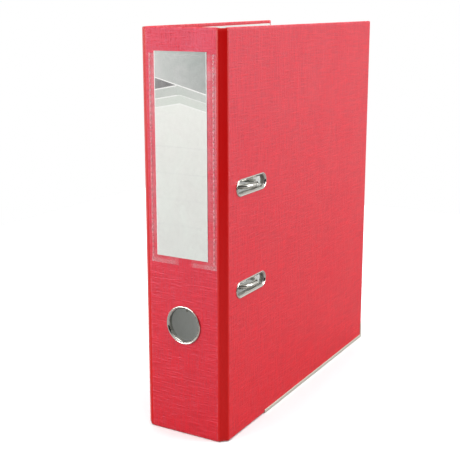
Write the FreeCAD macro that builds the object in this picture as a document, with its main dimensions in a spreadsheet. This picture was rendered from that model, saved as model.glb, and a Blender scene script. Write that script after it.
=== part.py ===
import FreeCAD, Part
import math
import os
import Sketcher

# Lever arch file, 75 mm spine, for A4 paper. Millimetres, +Z up.
# The origin is the middle of the spine's foot: the spine faces -Y, the front cover is on the
# +X side, the rear cover with the mechanism is on the -X side, and both run towards +Y.
#
# Each cover is drawn in a frame of its own whose z axis is the cover's hinge edge, on its
# outer face: x is square to the cover and y runs along it to the fore-edge. The inside of the
# rear cover is at +x, and that of the front cover at -x.

doc = FreeCAD.newDocument("LeverArchFile")

SIZES = {
    # case
    "file_height": 318, "file_width": 75, "cover_depth": 280, "bevel": 5,
    "board": 2.0, "foil": 0.3, "lining": 0.2, "turn_in": 3, "case_thick": 2.8,
    "crease_gap": 1.2, "crease_thick": 0.6, "rail_sheet": 0.5, "rail_lip": 2.4,
    "rail_start": 62, "rail_leg": 15,
    # finger ring in the spine
    "ring_height": 91, "ring_radius": 15.5, "ring_bore": 13.3, "ring_wall": 0.6,
    "ring_rise": 1.2, "ring_seat": 14.1,
    # slots in the front cover
    "slot_centre": 36.8, "slot_length": 44.5, "slot_width": 9, "eyelet_rim": 2.3,
    "eyelet_wall": 0.5, "eyelet_rise": 0.9, "slot_pitch": 80,
    # label pocket and card
    "pocket_left": -28.7, "pocket_span": 59.4, "pocket_foot": 139, "pocket_tall": 160,
    "pocket_film": 0.25, "card_space": 0.5, "card_left": -23.5, "card_span": 46.2,
    "card_foot": 144.8, "card_tall": 155.8, "card_thick": 0.3, "notch_left": -6,
    "notch_span": 15, "seam": 5.6,
    # mechanism on the rear cover
    "plate_start": 6, "plate_span": 50, "plate_tall": 134, "plate_sheet": 1.2,
    "plate_corner": 6, "shaft_lug": 8, "shaft_lug_low": -32, "shaft_lug_high": 30.8, "lever_lug": 10,
    "lug_root": 0.2, "lug_gap": 0.7, "post_collar": 1.7, "post_bead": 1.5,
    "mech_drop": 1.5, "wire": 4, "arch_half": 17, "arch_centre": 33, "arch_shoulder": 61,
    "shaft_rise": 8.5, "post_dia": 4.6, "post_top": 52, "bend": 7, "running": 0.05,
    "rivet_dia": 4, "rivet_head": 9, "rivet_rise": 1.1, "rivet_reach": 59,
    "lever_pivot_rise": 15.5, "lever_pivot_up": 24, "lever_width": 12, "lever_sheet": 1.2,
    "lever_tail": 66, "lever_line": 28, "pin_dia": 4, "roller_dia": 7.4, "roller_pin_dia": 3,
    "lift_sheet": 1.5, "lift_low": -29, "lift_high": 17, "knuckle": 12,
    "knuckle_wall": 1.2, "finger_tall": 14.5, "spring_room": 11,
    "bar_tall": 118, "bar_span": 12, "bar_sheet": 1.0, "bar_rise": 14,
}

dim = doc.addObject("Spreadsheet::Sheet", "dim")
for row, (alias, value) in enumerate(SIZES.items(), start=1):
    dim.set(f"A{row}", alias)
    dim.set(f"B{row}", str(value))
    dim.setAlias(f"B{row}", alias)
doc.recompute()

FRONT_SPLAY = 2.0    # degrees that the front cover's fore-edge leans in
REAR_SPLAY = 9.0     # degrees that the rear cover's fore-edge stands out
TOOL_FROM, TOOL_LONG = "-10", "20"    # where a cutting tool starts and its length, past any board
X_AXIS = FreeCAD.Vector(1, 0, 0)
Y_AXIS = FreeCAD.Vector(0, 1, 0)
Z_AXIS = FreeCAD.Vector(0, 0, 1)
SPINE_FACE = -(dim.board / 2 + dim.foil)
MID = dim.file_height / 2
HINGE_X = dim.file_width / 2
HINGE_Y = SPINE_FACE + dim.bevel

AT_SPINE = FreeCAD.Placement()
AT_FRONT = FreeCAD.Placement(FreeCAD.Vector(HINGE_X, HINGE_Y, 0), FreeCAD.Rotation(Z_AXIS, FRONT_SPLAY))
AT_REAR = FreeCAD.Placement(FreeCAD.Vector(-HINGE_X, HINGE_Y, 0), FreeCAD.Rotation(Z_AXIS, REAR_SPLAY))
nodes = []


# --- how pieces are made ---

def bind(obj, **expressions):
    """Ties properties of an object to the sheet; a double underscore stands for a dot."""
    for prop, expression in expressions.items():
        obj.setExpression(prop.replace("__", "."), str(expression))
    return obj


def box(name, size, corner):
    """A box with its size and its lowest corner given as expressions."""
    solid = doc.addObject("Part::Box", name)
    bind(solid, Length=size[0], Width=size[1], Height=size[2])
    return bind(solid, Placement__Base__x=corner[0], Placement__Base__y=corner[1],
                Placement__Base__z=corner[2])


def rod(name, radius, length, start, axis):
    """A round rod from start along axis, with its sizes given as expressions."""
    solid = doc.addObject("Part::Cylinder", name)
    solid.Placement.Rotation = FreeCAD.Rotation(Z_AXIS, axis)
    bind(solid, Radius=radius, Height=length)
    return bind(solid, Placement__Base__x=start[0], Placement__Base__y=start[1],
                Placement__Base__z=start[2])


def fuse(name, solids):
    joined = doc.addObject("Part::MultiFuse", name)
    joined.Shapes = solids
    return joined


def cut(name, base, tools):
    result = doc.addObject("Part::Cut", name)
    result.Base = base
    result.Tool = tools[0] if len(tools) == 1 else fuse(name + "_tools", tools)
    return result


def group(name, solids):
    """Solids that share one node and stay separate, or a single one."""
    together = doc.addObject("Part::Compound", name)
    together.Links = solids
    return together


def node(obj, label, placement):
    """Names a finished sub-part and puts it where it belongs in the file."""
    obj.Label = label
    obj.Placement = placement
    nodes.append(obj)
    return obj


def body_sketch(body, name, role):
    """A sketch on one of the body's own origin planes."""
    sketch = body.newObject("Sketcher::SketchObject", name)
    origin_plane = next(f for f in body.Origin.OriginFeatures if f.Role == role)
    sketch.AttachmentSupport = [(origin_plane, "")]
    sketch.MapMode = "FlatFace"
    return sketch


def rectangle(sketch, low, high):
    """A closed rectangle; low and high are corner expressions, named and tied to the sheet."""
    corners = [FreeCAD.Vector(x, y, 0) for x, y in ((0, 0), (10, 0), (10, 10), (0, 10))]
    first = sketch.GeometryCount
    for i in range(4):
        sketch.addGeometry(Part.LineSegment(corners[i], corners[(i + 1) % 4]))
    for i in range(4):
        sketch.addConstraint(Sketcher.Constraint("Coincident", first + i, 2, first + (i + 1) % 4, 1))
        turn = "Horizontal" if i % 2 == 0 else "Vertical"
        sketch.addConstraint(Sketcher.Constraint(turn, first + i))
    for kind, line, expression in (("DistanceX", 0, low[0]), ("DistanceY", 0, low[1]),
                                   ("DistanceX", 2, high[0]), ("DistanceY", 2, high[1])):
        index = sketch.addConstraint(Sketcher.Constraint(kind, -1, 1, first + line, 1, 5.0 * line))
        label = f"{kind}_{first + line}"
        sketch.renameConstraint(index, label)
        sketch.setExpression("Constraints." + label, str(expression))


def circle(sketch, centre, radius):
    """A circle with its centre and radius tied to the sheet."""
    index = sketch.addGeometry(Part.Circle(FreeCAD.Vector(1, 1, 0), Z_AXIS, 2))
    for kind, args, expression in (("DistanceX", (-1, 1, index, 3, 1.0), centre[0]),
                                   ("DistanceY", (-1, 1, index, 3, 1.0), centre[1]),
                                   ("Radius", (index, 2.0), radius)):
        constraint = sketch.addConstraint(Sketcher.Constraint(kind, *args))
        label = f"{kind}_{index}"
        sketch.renameConstraint(constraint, label)
        sketch.setExpression("Constraints." + label, str(expression))


def outline(sketch, points):
    """A closed outline through fixed points."""
    corners = [FreeCAD.Vector(x, y, 0) for x, y in points]
    for i, corner in enumerate(corners):
        sketch.addGeometry(Part.LineSegment(corner, corners[(i + 1) % len(corners)]))
    for i in range(len(corners)):
        sketch.addConstraint(Sketcher.Constraint("Coincident", i, 2, (i + 1) % len(corners), 1))
        sketch.addConstraint(Sketcher.Constraint("Block", i))


def pad(body, sketch, length, reverse=False, both_ways=False):
    feature = body.newObject("PartDesign::Pad", sketch.Name + "_pad")
    feature.Profile = sketch
    feature.Reversed = reverse
    feature.Midplane = both_ways
    bind(feature, Length=length)
    sketch.Visibility = False
    return feature


def pocket(body, sketch, length, reverse=False, both_ways=False):
    """Cuts the sketch's shape away, and makes sure that something was cut."""
    doc.recompute()
    before = body.Shape.Volume
    feature = body.newObject("PartDesign::Pocket", sketch.Name + "_pocket")
    feature.Profile = sketch
    feature.Reversed = reverse
    feature.Midplane = both_ways
    bind(feature, Length=length)
    doc.recompute()
    if body.Shape.Volume >= before - 1e-6:
        raise ValueError(f"{sketch.Name} cuts nothing")
    return feature


def turned(label, points, placement):
    """A turned piece: its half-section (x along the axis, y its radius) goes round the x axis."""
    body = doc.addObject("PartDesign::Body", label + "_body")
    sketch = body_sketch(body, label + "_section", "XY_Plane")
    outline(sketch, points)
    feature = body.newObject("PartDesign::Revolution", label + "_turn")
    feature.Profile = sketch
    feature.ReferenceAxis = (sketch, ["H_Axis"])
    feature.Angle = 360
    return node(body, label, placement)


def stadium(name, length, width, depth, x, y, z):
    """A slot-shaped block: its long way is y, its depth runs along +x from x."""
    ends = [rod(f"{name}_{word}", f"({width}) / 2", depth,
                (x, f"{y} {sign} (({length}) - ({width})) / 2", z), X_AXIS)
            for word, sign in (("far", "+"), ("near", "-"))]
    middle = box(name + "_middle", (depth, f"({length}) - ({width})", width),
                 (x, f"{y} - (({length}) - ({width})) / 2", f"{z} - ({width}) / 2"))
    return fuse(name, [middle] + ends)


# --- spine: greyboard, foil wrapped over it, paper lining ---

def spine():
    board = doc.addObject("PartDesign::Body", "spine_board_body")
    sketch = body_sketch(board, "spine_board_outline", "XZ_Plane")
    half = "(dim.file_width / 2 - dim.bevel)"
    rectangle(sketch, (f"-{half}", "dim.foil"), (half, "dim.file_height - dim.foil"))
    pad(board, sketch, "dim.board", both_ways=True)
    hole = body_sketch(board, "spine_board_hole", "XZ_Plane")
    circle(hole, ("0", "dim.ring_height"), "dim.ring_seat")
    pocket(board, hole, "dim.board + 1", both_ways=True)
    node(board, "spine_board", AT_SPINE)

    wide = f"2 * {half}"
    back = "dim.board / 2"
    around = box("spine_foil_around", (wide, "dim.board + 2 * dim.foil", "dim.file_height"),
                 (f"-{half}", f"-{back} - dim.foil", "0"))
    core = box("spine_foil_core", (wide, "dim.board", "dim.file_height - 2 * dim.foil"),
               (f"-{half}", f"-{back}", "dim.foil"))
    window = box("spine_foil_window", (wide, "5", "dim.file_height - 2 * dim.turn_in"),
                 (f"-{half}", back, "dim.turn_in"))
    bore = rod("spine_foil_hole", "dim.ring_seat", "10", ("0", "-5", "dim.ring_height"),
               Y_AXIS)
    node(cut("spine_foil_cut", around, [core, window, bore]), "spine_foil", AT_SPINE)

    sheet = box("spine_lining_sheet", (wide, "dim.lining + dim.foil", "dim.file_height - 2 * dim.turn_in"),
                (f"-{half}", back, "dim.turn_in"))
    bore = rod("spine_lining_hole", "dim.ring_seat", "10", ("0", "-5", "dim.ring_height"),
               Y_AXIS)
    node(cut("spine_lining_cut", sheet, [bore]), "spine_lining", AT_SPINE)


# --- finger ring: two pressed cups that clinch through the spine ---

def finger_ring():
    inner_face = dim.board / 2 + dim.foil + dim.lining
    face_out = FreeCAD.Rotation(Z_AXIS, -90)
    at_ring = FreeCAD.Placement(FreeCAD.Vector(0, 0, dim.ring_height), face_out)
    bore, rim, rise = dim.ring_bore, dim.ring_radius, dim.ring_rise
    front = -SPINE_FACE
    turned("finger_ring_outer", [
        (-inner_face - 0.9, bore), (front + 0.5, bore), (front + rise, bore + 1.0),
        (front + rise, rim - 1.0), (front + 0.5, rim), (front, rim), (front, bore + dim.ring_wall),
        (-inner_face - 0.9, bore + dim.ring_wall)], at_ring)
    turned("finger_ring_inner", [
        (-inner_face, bore + dim.ring_wall), (-inner_face, rim), (-inner_face - 0.4, rim),
        (-inner_face - 1.0, rim - 0.8), (-inner_face - 1.0, bore + dim.ring_wall)], at_ring)


# --- label: transparent welded pocket and the card that slides in it ---

def label():
    film = doc.addObject("PartDesign::Body", "label_pocket_body")
    sketch = body_sketch(film, "label_pocket_outline", "XZ_Plane")
    rectangle(sketch, ("dim.pocket_left", "dim.pocket_foot"),
              ("dim.pocket_left + dim.pocket_span", "dim.pocket_foot + dim.pocket_tall"))
    pad(film, sketch, "dim.card_space + dim.pocket_film")
    room = body_sketch(film, "label_pocket_room", "XZ_Plane")
    rectangle(room, ("dim.card_left - 0.6", "dim.pocket_foot + dim.seam"),
              ("dim.card_left + dim.card_span + 0.6", "dim.pocket_foot + dim.pocket_tall + 5"))
    pocket(film, room, "dim.card_space", reverse=True)
    notch = body_sketch(film, "label_pocket_notch", "XZ_Plane")
    rectangle(notch, ("dim.notch_left", "dim.pocket_foot - 1"),
              ("dim.notch_left + dim.notch_span", "dim.pocket_foot + dim.seam - 0.2"))
    pocket(film, notch, "dim.card_space + dim.pocket_film + 1", reverse=True)
    node(film, "label_pocket", FreeCAD.Placement(FreeCAD.Vector(0, SPINE_FACE, 0), FreeCAD.Rotation()))

    card = doc.addObject("PartDesign::Body", "label_card_body")
    sketch = body_sketch(card, "label_card_outline", "XZ_Plane")
    rectangle(sketch, ("dim.card_left", "dim.card_foot"),
              ("dim.card_left + dim.card_span", "dim.card_foot + dim.card_tall"))
    pad(card, sketch, "dim.card_thick")
    gap = (dim.card_space - dim.card_thick) / 2
    node(card, "label_card", FreeCAD.Placement(FreeCAD.Vector(0, SPINE_FACE - gap, 0), FreeCAD.Rotation()))


# --- covers: board, foil, lining and edge rail, the same for both sides ---

def cover(side, placement, holes):
    """side is 1 for the rear cover, -1 for the front; holes() makes new cutting tools."""
    name = "rear" if side > 0 else "front"
    low = "dim.rail_sheet"
    tall = "dim.file_height - dim.rail_sheet"

    def layer(part, start, thick, corner, size):
        """A slab whose x range starts at a depth below the outer face."""
        x = start if side > 0 else f"-({start}) - ({thick})"
        return box(f"{name}_{part}", (thick, size[0], size[1]), (x, corner[0], corner[1]))

    slab = layer("board_slab", "dim.foil", "dim.board", ("0", f"{low} + dim.foil"),
                 ("dim.cover_depth - dim.foil", f"{tall} - 2 * dim.foil"))
    node(cut(f"{name}_board_cut", slab, holes(name + "_board")), f"{name}_board", placement)

    around = layer("foil_around", "0", "dim.board + 2 * dim.foil", ("0", low), ("dim.cover_depth", tall))
    core = layer("foil_core", "dim.foil", "dim.board", ("-1", f"{low} + dim.foil"),
                 ("dim.cover_depth - dim.foil + 1", f"{tall} - 2 * dim.foil"))
    window = layer("foil_window", "dim.foil + dim.board", "5", ("-1", f"{low} + dim.turn_in"),
                   ("dim.cover_depth - dim.turn_in + 1", f"{tall} - 2 * dim.turn_in"))
    node(cut(f"{name}_foil_cut", around, [core, window] + holes(name + "_foil")),
         f"{name}_foil", placement)

    sheet = layer("lining_sheet", "dim.foil + dim.board", "dim.foil + dim.lining",
                  ("0", f"{low} + dim.turn_in"),
                  ("dim.cover_depth - dim.turn_in", f"{tall} - 2 * dim.turn_in"))
    node(cut(f"{name}_lining_cut", sheet, holes(name + "_lining")), f"{name}_lining", placement)

    # pressed steel channel that guards the foot of the cover and turns up its fore-edge
    outer_thick = "dim.case_thick + 2 * dim.rail_sheet"
    foot = layer("rail_foot", "-dim.rail_sheet", outer_thick, ("dim.rail_start", "0"),
                 ("dim.cover_depth + dim.rail_sheet - dim.rail_start", "dim.rail_lip + dim.rail_sheet"))
    leg = layer("rail_leg", "-dim.rail_sheet", outer_thick, ("dim.cover_depth - dim.rail_lip", "0"),
                ("dim.rail_lip + dim.rail_sheet", "dim.rail_leg"))
    inside = layer("rail_inside", "0", "dim.case_thick", ("0", "dim.rail_sheet"),
                   ("dim.cover_depth", "dim.file_height"))
    channel = fuse(f"{name}_rail_outer", [foot, leg])
    node(cut(f"{name}_rail_cut", channel, [inside]), f"{name}_edge_rail", placement)


def slot_tools(name):
    """Cutting tools for both slots, a hair wider than the eyelets' sleeves."""
    wall = "2 * dim.eyelet_wall"
    return [stadium(f"{name}_slot_{place}", f"dim.slot_length + {wall}", f"dim.slot_width + {wall}",
                    TOOL_LONG, TOOL_FROM, "dim.slot_centre", f"dim.file_height / 2 {sign} dim.slot_pitch / 2")
            for place, sign in (("upper", "+"), ("lower", "-"))]


def rivet_spots():
    """Names and places of the four rivets, as expressions."""
    middle = "dim.file_height / 2 - dim.mech_drop"
    spots = []
    for place, sign in (("upper", "+"), ("lower", "-")):
        for column, y in (("near", "dim.plate_start + 17"), ("far", "dim.plate_start + 33")):
            spots.append((f"{place}_{column}", y, f"{middle} {sign} dim.rivet_reach"))
    return spots


def rivet_tools(name):
    return [rod(f"{name}_rivet_{spot}", "dim.rivet_dia / 2", TOOL_LONG, (TOOL_FROM, y, z), X_AXIS)
            for spot, y, z in rivet_spots()]


# --- slot eyelets: a flanged sleeve outside and a backing ring inside ---

def slot_eyelets():
    wall = "2 * dim.eyelet_wall"
    rim_long = "dim.slot_length + 2 * dim.eyelet_rim"
    rim_wide = "dim.slot_width + 2 * dim.eyelet_rim"
    for place, sign in (("upper", "+"), ("lower", "-")):
        z = f"dim.file_height / 2 {sign} dim.slot_pitch / 2"
        at = ("dim.slot_centre", z)
        flange = stadium(f"eyelet_{place}_flange", rim_long, rim_wide, "dim.eyelet_rise", "0", *at)
        sleeve = stadium(f"eyelet_{place}_sleeve", f"dim.slot_length + {wall}", f"dim.slot_width + {wall}",
                         "dim.case_thick + 1.2", "-dim.case_thick - 1.0", *at)
        hole = stadium(f"eyelet_{place}_hole", "dim.slot_length", "dim.slot_width", TOOL_LONG, TOOL_FROM, *at)
        eyelet = cut(f"eyelet_{place}_cut", fuse(f"eyelet_{place}_solid", [flange, sleeve]), [hole])
        node(eyelet, f"slot_eyelet_{place}", AT_FRONT)
        ring = stadium(f"backing_{place}_ring", rim_long, rim_wide, "0.8", "-dim.case_thick - 0.8", *at)
        seat = stadium(f"backing_{place}_seat", f"dim.slot_length + {wall}", f"dim.slot_width + {wall}",
                       TOOL_LONG, TOOL_FROM, *at)
        node(cut(f"backing_{place}_cut", ring, [seat]), f"slot_backing_{place}", AT_FRONT)


# --- creases: the foil and lining that bridge each board gap, as a slanted strip ---

def crease(name, side):
    slant = dim.bevel * math.sqrt(2)
    strip = box(f"{name}_strip", (f"{slant} - 2 * dim.crease_gap", "dim.crease_thick",
                                  "dim.file_height - dim.rail_sheet"),
                ("dim.crease_gap", "0" if side > 0 else "-dim.crease_thick", "dim.rail_sheet"))
    turn = 45 if side > 0 else 135
    start = FreeCAD.Vector(side * (HINGE_X - dim.bevel), SPINE_FACE, 0)
    node(group(f"{name}_group", [strip]), name,
         FreeCAD.Placement(start, FreeCAD.Rotation(Z_AXIS, turn)))


# --- mechanism: base plate with its lugs, rivets and posts ---

MECH_Z = MID - dim.mech_drop
SHAFT_Y = dim.arch_centre - dim.arch_half
POST_Y = dim.arch_centre + dim.arch_half
POST_Z = [MECH_Z + dim.slot_pitch / 2, MECH_Z - dim.slot_pitch / 2]
LEVER_Y = dim.lever_line
ROLLER_PLAY = 0.4    # between the roller and each wall of the lever


def lug(name, thick, corner, span, rise, along):
    """A bent-up ear with a round top: along is 'z' or 'y', the way its thickness lies."""
    radius = span / 2
    if along == "z":
        flat = box(name + "_flat", (rise, span, thick), corner)
        top = rod(name + "_top", radius, thick, (corner[0] + rise, corner[1] + radius, corner[2]), Z_AXIS)
    else:
        flat = box(name + "_flat", (rise, thick, span), corner)
        top = rod(name + "_top", radius, thick, (corner[0] + rise, corner[1], corner[2] + radius),
                  Y_AXIS)
    return [flat, top]


def base_plate():
    plate = doc.addObject("PartDesign::Body", "base_plate_sheet")
    sketch = body_sketch(plate, "base_plate_outline", "YZ_Plane")
    middle = "dim.file_height / 2 - dim.mech_drop"
    rectangle(sketch, ("dim.plate_start", f"{middle} - dim.plate_tall / 2"),
              ("dim.plate_start + dim.plate_span", f"{middle} + dim.plate_tall / 2"))
    sheet = pad(plate, sketch, "dim.plate_sheet")
    doc.recompute()
    corners = [f"Edge{i}" for i, edge in enumerate(sheet.Shape.Edges, start=1)
               if abs(edge.tangentAt(edge.FirstParameter).x) > 0.9]
    rounding = plate.newObject("PartDesign::Fillet", "base_plate_corners")
    rounding.Base = (sheet, corners)
    bind(rounding, Radius="dim.plate_corner")
    plate.Placement.Base = FreeCAD.Vector(dim.case_thick, 0, 0)

    face = dim.case_thick + dim.lug_root
    solids = [plate]
    rise = dim.shaft_rise - face
    for i, offset in enumerate((dim.shaft_lug_low, dim.shaft_lug_high)):
        corner = (face, SHAFT_Y - dim.shaft_lug / 2, MECH_Z + offset)
        solids += lug(f"shaft_lug_{i}", dim.plate_sheet, corner, dim.shaft_lug, rise, "z")
    rise = dim.lever_pivot_rise - face
    reach = dim.lever_width / 2 + dim.lug_gap
    for i, y in enumerate((LEVER_Y - reach - dim.plate_sheet, LEVER_Y + reach)):
        corner = (face, y, MECH_Z + dim.lever_pivot_up - dim.lever_lug / 2)
        solids += lug(f"lever_lug_{i}", dim.plate_sheet, corner, dim.lever_lug, rise, "y")
    blank = fuse("base_plate_blank", solids)
    shaft_bore = rod("shaft_bore", "dim.wire / 2 + dim.running", "dim.plate_tall",
                     ("dim.shaft_rise", SHAFT_Y, f"{middle} - dim.plate_tall / 2"), Z_AXIS)
    pin_bore = rod("pin_bore", "dim.pin_dia / 2", "4 * dim.lever_width",
                   ("dim.lever_pivot_rise", LEVER_Y - 2 * dim.lever_width,
                    f"{middle} + dim.lever_pivot_up"), Y_AXIS)
    post_bores = [rod(f"post_bore_{i}", "dim.post_dia / 2 - 0.5", TOOL_LONG, (TOOL_FROM, POST_Y, z), X_AXIS)
                  for i, z in enumerate(POST_Z)]
    tools = [shaft_bore, pin_bore] + post_bores + rivet_tools("base_plate")
    node(cut("base_plate_cut", blank, tools), "base_plate", AT_REAR)


def base_rivets():
    """Four tubular rivets from the base plate to the outer face of the rear cover."""
    rivets = []
    for spot, y, z in rivet_spots():
        shank = rod(f"rivet_{spot}_shank", "dim.rivet_dia / 2", "dim.case_thick + dim.plate_sheet",
                    ("0", y, z), X_AXIS)
        outer = doc.addObject("Part::Cone", f"rivet_{spot}_outer")
        outer.Placement.Rotation = FreeCAD.Rotation(Z_AXIS, FreeCAD.Vector(-1, 0, 0))
        bind(outer, Radius1="dim.rivet_head / 2", Radius2="dim.rivet_head / 2 - 1.4",
             Height="dim.rivet_rise", Placement__Base__y=y, Placement__Base__z=z)
        inner = rod(f"rivet_{spot}_inner", "dim.rivet_dia / 2 + 1.4", "0.8",
                    ("dim.case_thick + dim.plate_sheet", y, z), X_AXIS)
        rivets.append(fuse(f"rivet_{spot}", [shank, outer, inner]))
    node(group("base_rivets_group", rivets), "base_rivets", AT_REAR)


def posts():
    """Fixed posts: tubes with a collar on the base plate and a hollow cone at the tip."""
    foot = dim.case_thick + dim.plate_sheet
    radius, tip = dim.post_dia / 2, 0.4
    collar = radius + dim.post_collar
    for place, z in zip(("upper", "lower"), POST_Z):
        at_post = AT_REAR.multiply(FreeCAD.Placement(FreeCAD.Vector(0, POST_Y, z), FreeCAD.Rotation()))
        turned(f"post_{place}", [
            (dim.case_thick, 0), (dim.case_thick, radius - 0.5), (foot, radius - 0.5),
            (foot, collar), (foot + dim.post_bead, collar), (foot + dim.post_bead + 0.5, radius),
            (dim.post_top - tip, radius), (dim.post_top, radius - tip), (dim.post_top, 4 * tip),
            (dim.post_top - 2 * tip, 0)], at_post)


# --- arches: one bent wire with its shaft, and the plate that the lever presses ---

def arch_wire():
    """The wire runs from one arch tip over and down, along the shaft, and up to the other tip."""
    tip = dim.post_top + 0.35
    shaft, bend = dim.shaft_rise, dim.bend
    arc = bend * (1 - math.sqrt(0.5))
    edges = []

    def point(x, y, z):
        return FreeCAD.Vector(x, y, z)

    def half(z, inward):
        """One arch's edges from its tip to the shaft; inward is the way towards the other."""
        top = point(dim.arch_shoulder + dim.arch_half, dim.arch_centre, z)
        return [
            Part.LineSegment(point(tip, POST_Y, z), point(dim.arch_shoulder, POST_Y, z)).toShape(),
            Part.Arc(point(dim.arch_shoulder, POST_Y, z), top,
                     point(dim.arch_shoulder, SHAFT_Y, z)).toShape(),
            Part.LineSegment(point(dim.arch_shoulder, SHAFT_Y, z),
                             point(shaft + bend, SHAFT_Y, z)).toShape(),
            Part.Arc(point(shaft + bend, SHAFT_Y, z), point(shaft + arc, SHAFT_Y, z + inward * arc),
                     point(shaft, SHAFT_Y, z + inward * bend)).toShape()]

    edges = half(POST_Z[0], -1)
    edges.append(Part.LineSegment(point(shaft, SHAFT_Y, POST_Z[0] - bend),
                                  point(shaft, SHAFT_Y, POST_Z[1] + bend)).toShape())
    edges += reversed(half(POST_Z[1], 1))
    path = Part.Wire(Part.__sortEdges__(edges))
    ring = Part.Wire(Part.Circle(point(tip, POST_Y, POST_Z[0]), X_AXIS, dim.wire / 2).toShape())
    swept = path.makePipeShell([ring], True, False)
    solids = [swept]
    for z in POST_Z:
        solids.append(Part.makeCone(dim.wire / 2, 0.9, 0.7, point(tip, POST_Y, z), FreeCAD.Vector(-1, 0, 0)))
    wire = doc.addObject("Part::Feature", "arch_wire_shape")
    wire.Shape = solids[0].fuse(solids[1:]).removeSplitter()
    node(wire, "arch_wire", AT_REAR)


def lift_plate():
    """Two knuckles rolled round the shaft, a strip along it, and a finger under the roller."""
    low, high = MECH_Z + dim.lift_low, MECH_Z + dim.lift_high
    under = dim.shaft_rise - dim.lift_sheet / 2
    strip_from, finger_from = SHAFT_Y + 1.3, SHAFT_Y + 5
    strip = box("lift_strip", ("dim.lift_sheet", 4.2, high - low), (under, strip_from, low))
    finger_to = LEVER_Y + dim.lever_width / 2 - dim.lever_sheet - ROLLER_PLAY
    finger = box("lift_finger", ("dim.lift_sheet", finger_to - finger_from, "dim.finger_tall"),
                 (under, finger_from, high - dim.finger_tall + 1.5))
    knuckles = [rod(f"lift_knuckle_{i}", "dim.wire / 2 + dim.knuckle_wall", "dim.knuckle",
                    (dim.shaft_rise, SHAFT_Y, z), Z_AXIS) for i, z in enumerate((low, high - dim.knuckle))]
    depth = 2 * dim.wire
    relief = box("lift_relief", (depth, 4, high - low - 2 * dim.knuckle),
                 (dim.shaft_rise - depth / 2, SHAFT_Y - 0.7, low + dim.knuckle))
    round_spring = box("lift_notch", (depth, 6, "dim.spring_room"),
                       (dim.shaft_rise - depth / 2, SHAFT_Y - 2.5, MECH_Z - dim.spring_room - 0.5))
    bore = rod("lift_bore", "dim.wire / 2", high - low, (dim.shaft_rise, SHAFT_Y, low), Z_AXIS)
    blank = fuse("lift_blank", [strip, finger] + knuckles)
    node(cut("lift_plate_cut", blank, [bore, relief, round_spring]), "lift_plate", AT_REAR)


def opening_spring():
    """A torsion spring round the shaft: one leg lies on the base plate, one is under the tongue."""
    wire, coil, pitch, turns = 0.5, 2.75, 1.4, 6
    long_leg, short_leg = 14, 9
    helix = Part.makeHelix(pitch, turns * pitch, coil)
    helix.rotate(FreeCAD.Vector(), Z_AXIS, 180)
    winding = helix.Edges[0]
    start, end = (winding.valueAt(winding.ParameterRange[i]) for i in (0, 1))
    lead_in, lead_out = (winding.tangentAt(winding.ParameterRange[i]) for i in (0, 1))
    under_tongue = Part.LineSegment(start - lead_in * long_leg, start).toShape()
    on_plate = Part.LineSegment(end, end + lead_out * short_leg).toShape()
    section = Part.Wire(Part.Circle(start - lead_in * long_leg, lead_in, wire).toShape())
    spring = doc.addObject("Part::Feature", "opening_spring_shape")
    spring.Shape = Part.Wire([under_tongue, winding, on_plate]).makePipeShell([section], True, True)
    first_turn = FreeCAD.Vector(dim.shaft_rise, SHAFT_Y, MECH_Z - 6 - turns * pitch / 2)
    node(spring, "opening_spring", AT_REAR.multiply(FreeCAD.Placement(first_turn, FreeCAD.Rotation())))


# --- lever: folded channel with a thumb plate, its pivot pin, the roller and its pin ---

PIVOT = FreeCAD.Vector(dim.lever_pivot_rise, LEVER_Y, MECH_Z + dim.lever_pivot_up)
ROLLER = PIVOT + FreeCAD.Vector(-2.2, 0, -6.2)


def at_pivot():
    return AT_REAR.multiply(FreeCAD.Placement(PIVOT, FreeCAD.Rotation()))


def lever():
    """Side profile is (x out from the base plate, z up), about the pivot."""
    tail, sheet = -(dim.lever_pivot_up + dim.lever_tail), dim.lever_sheet
    body = doc.addObject("PartDesign::Body", "lever_body")
    side = body_sketch(body, "lever_side", "XZ_Plane")
    outline(side, [(-5, 3), (-1, 5.5), (4, 4.5), (5.6, -6), (5, tail + 30), (5, tail + 22), (1.5, tail + 22),
                   (-3, tail + 34), (-5.2, -22), (-5.2, -10)])
    pad(body, side, "dim.lever_width", both_ways=True)
    inside = body_sketch(body, "lever_inside", "XZ_Plane")
    outline(inside, [(-9, 9), (2.6, 9), (3.2, 3), (5.6 - sheet, -6), (5 - sheet, tail + 30),
                     (5 - sheet, tail + 18), (-9, tail + 18)])
    pocket(body, inside, "dim.lever_width - 2 * dim.lever_sheet", both_ways=True)
    thumb = body_sketch(body, "lever_thumb", "XZ_Plane")
    outline(thumb, [(5, tail + 28), (5, tail + 20), (9.5, tail + 8), (10.5, tail), (9.2, tail - 0.5),
                    (8.2, tail + 7.5), (3.8, tail + 19.5), (3.8, tail + 28)])
    pad(body, thumb, "dim.lever_width + 6", both_ways=True)
    holes = body_sketch(body, "lever_holes", "XZ_Plane")
    circle(holes, ("0", "0"), "dim.pin_dia / 2 + dim.running")
    circle(holes, (ROLLER.x - PIVOT.x, ROLLER.z - PIVOT.z), "dim.roller_pin_dia / 2")
    pocket(body, holes, "dim.lever_width + 10", both_ways=True)
    node(body, "lever", at_pivot())


def cross_pin(label, radius, reach, head, centre):
    """A pin along y with a flat head at each end, outside what it holds."""
    shank = rod(label + "_shank", radius, 2 * reach, (centre.x, centre.y - reach, centre.z),
                Y_AXIS)
    heads = [rod(f"{label}_head_{i}", f"{radius} + 1", head, (centre.x, y, centre.z), Y_AXIS)
             for i, y in enumerate((centre.y - reach - head, centre.y + reach))]
    node(fuse(label + "_solid", [shank] + heads), label, AT_REAR)


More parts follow.
